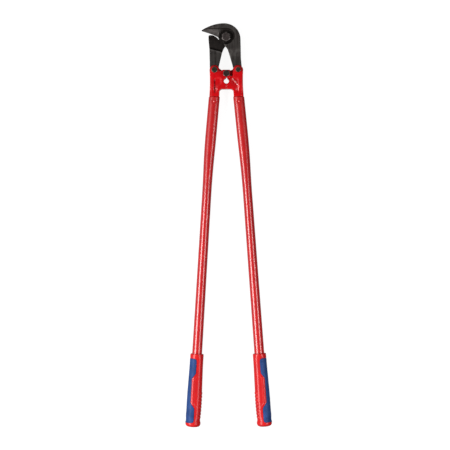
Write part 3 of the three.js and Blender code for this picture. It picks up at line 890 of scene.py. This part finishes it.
def counter_blade():
    r = SHANK_R + SLOT_CLEARANCE
    slot = arc(-LINK_X, LINK_Y, r, -pi / 2, pi / 2)
    slot += arc(-LINK_X - SLOT_LENGTH, LINK_Y, r, pi / 2, 1.5 * pi)
    holes = [circle(0, 0, BLADE_BOLT["r"] + GAP), slot]
    lines = [beside(SHOULDER, offset) for offset in SHOULDER_LINES]
    lines += [beside(COUNTER_EDGE, -(LAP_Z - EDGE_LAND) / COUNTER_FRONT_BEVEL)]
    lines += ring_pair(BOSS_R + GAP / 2) + ring_pair(REAR_SEAT_R)
    solids = [counter_outline(), circle(0, 0, BOSS_R)]
    shape = relief(solids, holes, lines, counter_front, counter_back, 1.1)
    name, materials = "counter_blade", [COUNTER_STEEL, GROUND, SCALE_AND_SHADE]
    made(f"{name}_forging", shape, name, materials, name, zone=counter_zone)


# ---- Lever heads, drawn for the left side and mirrored for the right ----


def lever_outline():
    top = LEVER_PIVOT_Y + LAP_TOP
    return (
        [(-STOP_HALF_GAP, top), (-8.2, top), (-9, top - STOP_RELIEF), (-11.5, top - STOP_RELIEF)]
        + arc(-LINK_X, LINK_Y, EAR_R, 0.35, pi)
        + bezier((-LINK_X - EAR_R, LINK_Y), (-38.1, -100), (-39, -118))
        + [(-40.2, LEG_END_Y), (-16.9, LEG_END_Y), (-ARCH_HALF, ARCH_TOP - ARCH_R)]
        + arc(-ARCH_HALF + ARCH_R, ARCH_TOP - ARCH_R, ARCH_R, pi, pi / 2, 14)
        + [(-STOP_HALF_GAP, ARCH_TOP)]
    )


def lap_outline():
    """The half-thickness disc around the lever pivot, cut straight at its top."""
    rise = math.asin(LAP_TOP / LAP_R)
    return arc(0, LEVER_PIVOT_Y, LAP_R, pi - rise, 2 * pi + rise, 50)


def web_outline():
    return (
        [(-9.6, -103)]
        + bezier((-9.6, -103), (-9.6, -93.5), (-19, -93))
        + bezier((-19, -93), (-29.8, -92.5), (-29.8, -102))
        + [(-30.2, -123)]
        + bezier((-30.2, -123), (-30.2, -132.5), (-25, -131.5))
        + bezier((-25, -131.5), (-21, -130), (-20.5, -122))
        + bezier((-20.5, -122), (-20, -116), (-14.5, -114.5))
        + bezier((-14.5, -114.5), (-9.6, -112.5), (-9.6, -103))[:-1]
    )


def mirrored(p, side):
    return np.column_stack([-side * p[:, 0], p[:, 1]])


def lever_face(p, plain):
    """Height of a lever head's face, on the drawn left side: ribs round a hollow web.

    The plain faces are all but the right casting's front.
    """
    x, y = p.T
    from_link = np.hypot(x + LINK_X, y - LINK_Y)
    half = LEVER_HALF - ramp(y, *LEG_SLOPE) - ramp(depth_in(p, web_outline()), *WEB_SLOPE)
    groove_depth = GROOVE_DEPTH if plain else FAINT_GROOVE_DEPTH
    groove = bell(x, GROOVE_X, np.where(x < GROOVE_X, *GROOVE_WIDTHS), groove_depth)
    half -= groove * within(y, *GROOVE_SPAN)
    half -= ramp(x, *RIB_SLOPE) * ramp(y, LINK_Y - 5, LINK_Y - 19)
    half -= ramp(from_link, *EAR_STEP) + ramp(from_link, *EAR_ROUND) * ramp(y, LINK_Y - 5, LINK_Y + 1)
    if not plain:
        half -= ramp(np.hypot(x, y - LEVER_PIVOT_Y), *LAP_RING)
        half += PAD_HEIGHT * step(PAD_HALF - line_distance(p, PAD_LINE), SOFT_STEP)
    return half


def pocket_outline():
    """The open corner beside the lever pivot, where the front lap is cut away."""
    return [(x, y + LEVER_PIVOT_Y) for x, y in POCKET]


def lever_zone(p, side):
    """1 on the right lever's pad, 2 on the painted shade strip in the left lever's groove beside the rib, 0
    elsewhere.
    """
    flat = mirrored(p, side)
    x, y = flat.T
    if side > 0:
        return np.where((line_distance(flat, PAD_LINE) < PAD_HALF - 0.2) & (p[:, 2] > 0), 1, 0)
    # Painted shade: the left lever's groove beside the rib gets the darker enamel
    foot, wide, top = GROOVE_SHADE_Y
    groove_shade = np.abs(x - GROOVE_X) < np.where(y > wide, *GROOVE_SHADE_HALVES)
    groove_shade &= (y > foot) & (y < top) & (np.abs(p[:, 2]) > FORK_HALF + 1)
    return np.where(groove_shade, 2, 0)


def lever_head(name, side):
    in_front = side < 0

    def lap(p):
        return step(depth_in_disc(p, LAP_R + GAP / 2, LEVER_PIVOT_Y))

    def front(p):
        face = lever_face(mirrored(p, side), plain=in_front)
        face = mix(face, LEVER_HALF - LAP_SUNK if in_front else -GAP / 2, lap(p))
        return mix(face, np.minimum(face, POCKET_FLOOR), step(depth_in(p, pocket_outline()), SOFT_STEP))

    def back(p):
        face = -lever_face(mirrored(p, side), plain=True)
        return mix(face, GAP / 2 if in_front else LAP_SUNK - LEVER_HALF, lap(p))

    solids = [[(-side * x, y) for x, y in lever_outline()], lap_outline()]
    holes = [circle(0, LEVER_PIVOT_Y, SHANK_R + GAP, 40), circle(*SIGHT_HOLE, 48)]
    holes += [circle(*SIGHT_TIP, 20), circle(side * LINK_X, LINK_Y, SHANK_R + GAP, 40)]
    lines = [grown(web_outline(), by) for by in WEB_LINES]
    lines += [[(GROOVE_X + x, -99), (GROOVE_X + x, -132)] for x in GROOVE_LINES]
    lines = [[(-side * x, y) for x, y in line] for line in lines]
    lines += ring_pair(LAP_R + GAP / 2, LEVER_PIVOT_Y)
    lines += [grown(pocket_outline(), by) for by in (-SOFT_STEP / 2, SOFT_STEP / 2)]
    shape = relief(solids, holes, lines, front, back, 1.5, spacing=1.5)
    fork = lathe(side * LINK_X, LINK_Y, [(FORK_R, -FORK_HALF), (FORK_R, FORK_HALF)])
    levels = np.linspace(LEG_END_Y + 3, LEG_END_Y - SPIGOT_LENGTH, 6)
    spigot = skin([tube_ring(side, y, TUBE_WALL + GAP, 32) for y in levels])
    made(
        f"{name}_lever_casting",
        shape,
        f"{name}_handle",
        [ENAMEL, RUBBED, GROOVE_SHADE_ENAMEL],
        f"{name}_lever_head",
        sharp=40,
        zone=lambda p: lever_zone(p, side),
        changes=[("DIFFERENCE", fork), ("UNION", spigot)],
    )


# ---- Tube handles ----


def handle_centre(y):
    drop = BEND_Y - y
    mean = (SLOPE_UPPER + SLOPE_LOWER) / 2
    turn = (SLOPE_LOWER - SLOPE_UPPER) / 2
    return BEND_X + mean * drop + turn * np.hypot(drop, BEND_SOFT)


def tube_half_width(y):
    flat = ramp(y, TUBE_WAIST_Y, TUBE_FLAT_END_Y)
    below = np.clip((TUBE_WAIST_Y - y) / (TUBE_WAIST_Y - TUBE_ROUND_Y), 0, 1)
    return mix(mix(TUBE_WAIST_HALF, TUBE_END_HALF, below), TUBE_TOP_HALF, flat)


def tube_ring(side, y, shrink, sides):
    """One level section of the tube, made smaller all round."""
    half = tube_half_width(y)
    angles = np.arange(sides) / sides * 2 * pi
    x = side * handle_centre(y) + (half - shrink) * np.cos(angles)
    z = (TUBE_HALF_SUM - half - shrink) * np.sin(angles)
    return np.column_stack([x, np.full(sides, float(y)), z])


def tube_handle(name, side):
    sides = 64
    top, bottom = LEG_END_Y - GAP, GRIP_TOP_Y - GRIP_BORE_DEPTH + 2
    heights = list(np.arange(top - 1, PIN_Y - 10, -0.9)) + list(np.linspace(PIN_Y - 11, bottom, 74))
    rings = [tube_ring(side, top, 0.7, sides), tube_ring(side, top - 0.3, 0.2, sides)]
    rings += [tube_ring(side, y, 0, sides) for y in heights]
    centre = np.array([side * handle_centre(PIN_Y), PIN_Y])
    for ring in rings:
        near = np.hypot(*(ring[:, :2] - centre).T)
        ring[:, 2] -= np.sign(ring[:, 2]) * DIMPLE_DEPTH * ramp(near, DIMPLE_R, PIN_R)
    inner = [tube_ring(side, y, TUBE_WALL, sides) for y in np.linspace(bottom, top - 0.2, 24)]
    rings += inner + [tube_ring(side, top, TUBE_WALL - 0.4, sides)]
    r = PIN_R + GAP
    changes = [("DIFFERENCE", lathe(*centre, [(r, -20), (r, 20)]))]
    shape, node = skin(rings, closed=True), f"{name}_handle_tube"
    made(f"{name}_tube", shape, f"{name}_handle", [PAINT], node, changes=changes)


def tube_pin(name, side):
    x = side * handle_centre(PIN_Y)
    reach = TUBE_HALF_SUM - TUBE_TOP_HALF + 0.6
    crown = [(0.9, 0), (2, 0.35), (PIN_R, 1.1)]
    profile = [(r, fall - reach) for r, fall in crown] + [(r, reach - fall) for r, fall in crown[::-1]]
    shape = lathe(x, PIN_Y, profile, 32)
    made(f"{name}_cross_pin", shape, f"{name}_handle", [PIN_PAINT_AND_HIGHLIGHT], f"{name}_tube_pin")


# ---- Grips. t runs down from the grip's top, and the angle from its outer side round its front ----


def station_curve():
    """The grip's radius against t, as a smooth curve through its stations."""
    stations = np.array([GRIP_STATIONS[0]] + GRIP_STATIONS + [GRIP_STATIONS[-1]], float)
    t = np.linspace(0, 1, 25)[:-1, None]
    spans = []
    for a, b, c, d in zip(stations, stations[1:], stations[2:], stations[3:]):
        va, vb = (c - a) / 2, (d - b) / 2
        spans.append((2 * b - 2 * c + va + vb) * t**3 + (3 * c - 3 * b - 2 * va - vb) * t**2 + va * t + b)
    return np.concatenate(spans + [stations[-1:]])


STATION_CURVE = station_curve()


def grip_radius(t):
    radius = np.interp(t, *STATION_CURVE.T)
    dome = np.clip((t - DOME_TOP) / (GRIP_LENGTH - DOME_TOP), 0, 1)
    return radius * (1 - dome**DOME_POWER) ** (1 / DOME_POWER) - TOP_ROUND * quarter(1 - t / TOP_ROUND)


def face_flat(t, angle):
    """How far the grip's face lies below its round shape."""
    from_middle = (np.abs(angle) - FACE_ANGLE) * grip_radius(t)
    return bell(from_middle, 0, FACE_HALF, FACE_FLAT) * within(t, *FACE_SPAN)


def inlay_x(t):
    """How far out the soft zone begins."""
    upper, waist, lower = INLAY_X
    start, full, falling, end = WAIST_SPAN
    return mix(mix(upper, waist, ramp(t, start, full)), lower, ramp(t, falling, end))


def inlay_angle(t):
    """Half the angle that the soft zone takes round the grip's outer side, with rounded corners."""
    inside = np.clip(t, INLAY_TOP, INLAY_BOTTOM)
    end = np.minimum(inside - INLAY_TOP, INLAY_BOTTOM - inside)
    corner = INLAY_CORNER * quarter(1 - end / INLAY_CORNER)
    return np.arccos(np.clip((inlay_x(inside) + corner) / grip_radius(inside), -1, 1))


def grip_point(side, radius, t, angle):
    """A place on a grip, in millimetres from the blade pivot."""
    out, z = radius * np.cos(angle), radius * np.sin(angle)
    top = handle_centre(GRIP_TOP_Y)
    x = side * (top + out * math.cos(LEAN) + t * math.sin(LEAN))
    y = GRIP_TOP_Y + out * math.sin(LEAN) - t * math.cos(LEAN)
    return np.column_stack([x, y, z])


def sleeve_height(t, angle, past_inlay):
    """How far the hard face stands out from the grip's plain shape.

    It has ribs for the fingers, in a sunk zone on the inner side, and a lip beside the soft zone's waist.
    """
    zone = ramp(np.abs(angle), RIB_ANGLE, RIB_ANGLE + 0.25) * within(t, *RIB_SPAN)
    ribs = RIB_HEIGHT * np.sqrt(np.abs(np.sin((t - RIB_START) * pi / RIB_PITCH))) - RIB_SUNK
    return zone * ribs + bell(past_inlay, *LIP) * within(t, *LIP_SPAN)


def grip_columns(t):
    """The angles of one ring's points: across the soft zone first, then round the hard side."""
    half = inlay_angle(t)
    wall = STEP / grip_radius(t)
    soft = np.linspace(-half, half, SOFT_COLUMNS)
    hard = np.linspace(half + wall, 2 * pi - half - wall, HARD_COLUMNS)
    return soft, hard


def grip_sleeve_ring(side, t, in_pocket):
    soft, hard = grip_columns(t)
    radius = grip_radius(t)
    turned = np.where(hard > pi, 2 * pi - hard, hard)
    past = (turned - soft[-1]) * radius
    hard_radius = radius + sleeve_height(t, turned, past) - face_flat(t, turned)
    soft_radius = radius - face_flat(t, soft) - (INLAY_DEPTH + GAP if in_pocket else 0)
    return grip_point(side, np.append(soft_radius, hard_radius), t, np.append(soft, hard))


def levels_between(top, bottom, ends, count):
    """Levels along a grip, closer together near both ends."""
    middle = np.linspace(top + 4, bottom - 4, count)
    return [top + s for s in ends] + [*middle] + [bottom - s for s in reversed(ends)]


def grip_sleeve(name, side):
    above = [0.02, 0.15, 0.5, 1, TOP_ROUND, *np.arange(2.6, INLAY_TOP - GAP - 0.2, 1.2)]
    above += [INLAY_TOP - GAP - 0.05]
    pocket = levels_between(INLAY_TOP, INLAY_BOTTOM, (-GAP, 0.3, 1, 2, 3), 156)
    dome = DOME_TOP + (GRIP_LENGTH - DOME_TOP) * np.sin(np.linspace(0.12, pi / 2 - 0.05, 16))
    below = [INLAY_BOTTOM + GAP + 0.05, *dome]
    rings = [grip_sleeve_ring(side, t, False) for t in above]
    rings += [grip_sleeve_ring(side, t, True) for t in pocket]
    rings += [grip_sleeve_ring(side, t, False) for t in below]
    rings.reverse()
    bore = TUBE_END_HALF + 2 * GAP
    inner = [(bore + 0.5, 0.02), (bore, 0.5)] + [(bore, t) for t in np.linspace(4, GRIP_BORE_DEPTH, 12)]
    rings += [grip_point(side, r, t, np.append(*grip_columns(t))) for r, t in inner]
    made(f"{name}_grip", skin(rings), f"{name}_handle", [RED], f"{name}_grip_sleeve", 50)


def grip_inlay(name, side):
    """The soft piece in the pocket: its outer face, and a plain face close over the pocket's floor."""
    rings = []
    for t in levels_between(INLAY_TOP, INLAY_BOTTOM, (0.02, 0.25, 0.6, 1.1, 2, 3), 150):
        half = inlay_angle(t) - GAP / grip_radius(t)
        inset = np.array([0, 0.25, 0.6, 1.1, 1.8]) / grip_radius(t)
        angles = np.concatenate([-half + inset, np.linspace(-half, half, 26)[3:-3], (half - inset)[::-1]])
        from_side = (half - np.abs(angles)) * grip_radius(t)
        from_end = min(t - INLAY_TOP, INLAY_BOTTOM - t)
        crown = (INLAY_PROUD + bell(t, *INLAY_SWELL)) * ramp(from_side, 0, 5)
        face = grip_radius(t) - face_flat(t, angles)
        outer = face + crown - INLAY_ROUND * quarter(1 - np.minimum(from_side, from_end) / INLAY_ROUND)
        radius = np.append(outer, face - INLAY_DEPTH)
        rings.append(grip_point(side, radius, t, np.append(angles, angles[::-1])))
    made(f"{name}_grip_pad", skin(rings), f"{name}_handle", [BLUE], f"{name}_grip_inlay", 50)


# ---- Bolts, washers and nuts ----


def chamfered(flats, face, inwards):
    """A hexagon's turned end, with a corner along y: the round face, and the scalloped chamfer."""
    degrees = np.arange(HEX_COLUMNS) * 360 / HEX_COLUMNS
    corner = flats / np.cos(np.radians((degrees - 30) % 60 - 30))
    flat = 0.9 * flats
    return [(flat, face), (corner, face + inwards * (corner - flat) * 0.5)]


def bolt_profile(r, flats, low, seat, high):
    face, edge = chamfered(flats, high, -1)
    corner, under = edge[0], seat + GAP
    profile = [(0.55 * flats, high - 0.15), (0.75 * flats, high - 0.02), face, edge]
    profile += [(corner, under + 0.4), (corner - 0.4, under), (r + 0.3, under), (r, under - 0.3)]
    return profile + [(r, low + 0.8), (r - 0.7, low)]


def washer_profile(hole, radius, low, high):
    soft = 0.3
    profile = [(hole, low + 0.1), (hole + 0.1, low), (radius - soft, low), (radius, low + soft)]
    return profile + [(radius, high - soft), (radius - soft, high), (hole + 0.1, high), (hole, high - 0.1)]


def nut_profile(hole, flats, low, high):
    profile = [(hole, low + 0.6), (hole + 0.6, low)] + chamfered(flats, low, 1)
    return profile + chamfered(flats, high, -1)[::-1] + [(hole + 0.6, high), (hole, high - 0.6)]


def fastening(name, x, y, bolt, nut, body, material=OXIDE):
    """A bolt from the front, with the washer and the nut that hold it on the back."""
    hole = bolt["r"] + GAP
    seat, low = nut["seat"], nut["seat"] - nut["washer"]
    pieces = [
        ("hex", "bolt", bolt_profile(**bolt), material),
        ("flat", "washer", washer_profile(hole, nut["washer_r"], low, seat), OXIDE),
        ("hex", "nut", nut_profile(hole, nut["flats"], nut["low"], low - GAP), OXIDE),
    ]
    for form, kind, profile, finish in pieces:
        shape = lathe(x, y, profile, HEX_COLUMNS, closed=kind != "bolt")
        made(f"{name}_{form}_{kind}", shape, body, [finish], f"{name}_{kind}")


hook_blade()
counter_blade()
fastening("blade_pivot", 0, 0, BLADE_BOLT, BLADE_NUT, "hook_blade", BROWN_OXIDE)
fastening("left_link", -LINK_X, LINK_Y, LEFT_LINK_BOLT, LEVER_NUT, "left_handle")
fastening("right_link", LINK_X, LINK_Y, RIGHT_LINK_BOLT, LEVER_NUT, "right_handle")
fastening("lever_pivot", 0, LEVER_PIVOT_Y, LEVER_BOLT, LEVER_NUT, "right_handle", OXIDE_RED_REFLECTION)
for side_name, side in [("left", -1), ("right", 1)]:
    lever_head(side_name, side)
    tube_handle(side_name, side)
    tube_pin(side_name, side)
    grip_sleeve(side_name, side)
    grip_inlay(side_name, side)

# ---- Floor, light and camera ----

scene = bpy.context.scene


def floor():
    n = new_material("pale_floor")
    cloud = n.noise(350, 2)
    n.base(cloud, 0.3, 0.7, (0.15, 0.15, 0.15), (0.17, 0.17, 0.17))
    glow = {"Emission Color": (1, 1, 1, 1), "Emission Strength": 0.92}
    mesh = bpy.data.meshes.new("floor")
    reach = 12
    corners = [(-reach, -reach, 0), (reach, -reach, 0), (reach, reach, 0), (-reach, reach, 0)]
    mesh.from_pydata(corners, [], [(0, 1, 2, 3)])
    mesh.materials.append(n.finish(cloud, 0.75, 0.85, glow))
    obj = bpy.data.objects.new("floor", mesh)
    obj.visible_glossy = False
    obj.visible_diffuse = False
    scene.collection.objects.link(obj)


def softbox(name, tilt, power, width, length=1.4, middle_y=-0.5, reach=1.5):
    """A long panel parallel to the handles, tilted from straight above towards +x, aimed at the tool."""
    light = bpy.data.lights.new(name, "AREA")
    light.shape = "RECTANGLE"
    light.size = width
    light.size_y = length
    light.energy = power
    obj = bpy.data.objects.new(name, light)
    angle = math.radians(tilt)
    obj.location = (reach * math.sin(angle), middle_y, reach * math.cos(angle))
    obj.rotation_euler = (0, angle, 0)
    obj.visible_camera = False
    scene.collection.objects.link(obj)


def surroundings():
    """A studio with pale walls, darker on the right. The eye sees it plain and pale all round."""
    world = bpy.data.worlds.new("studio")
    n = Nodes(world, "Generated")
    seen = n.tree.nodes["Background"]
    n.put(seen.inputs["Color"], (0.93, 0.93, 0.93, 1))
    split = n.tree.nodes.new("ShaderNodeSeparateXYZ")
    n.put(split.inputs["Vector"], n.place)
    height = n.tree.nodes.new("ShaderNodeValToRGB")
    n.put(height.inputs["Fac"], n.ranged(split.outputs["Z"], -1, 1))
    height.color_ramp.interpolation = "EASE"
    stops = height.color_ramp.elements
    for sine, brightness in STUDIO_LIGHT:
        stops.new((1 + sine) / 2).color = (brightness, brightness, brightness, 1)
    stops.remove(stops[0])
    stops.remove(stops[-1])
    strength = n.ranged(split.outputs["X"], -1, 1, *STUDIO_SIDES)
    lit = n.node("Background", "Background", {"Color": height.outputs["Color"], "Strength": strength})
    to_eye = n.node("LightPath", "Is Camera Ray")
    choice = n.node("MixShader", "Shader", {0: to_eye, 1: lit, 2: seen.outputs["Background"]})
    n.put(n.tree.nodes["World Output"].inputs["Surface"], choice)
    scene.world = world


def camera():
    data = bpy.data.cameras.new("camera")
    data.sensor_width = 36
    data.lens = data.sensor_width * (CAMERA_HEIGHT - PIVOT.z) / VIEW_WIDTH
    data.clip_end = 50
    obj = bpy.data.objects.new("camera", data)
    obj.location = (*VIEW_MIDDLE, CAMERA_HEIGHT)
    obj.rotation_euler = (0, 0, VIEW_TURN)
    scene.collection.objects.link(obj)
    scene.camera = obj


floor()
softbox("left_softbox", -48, 27, 0.4)
softbox("right_softbox", 44, 12.5, 0.32)
surroundings()
camera()
scene.view_settings.view_transform = "Standard"
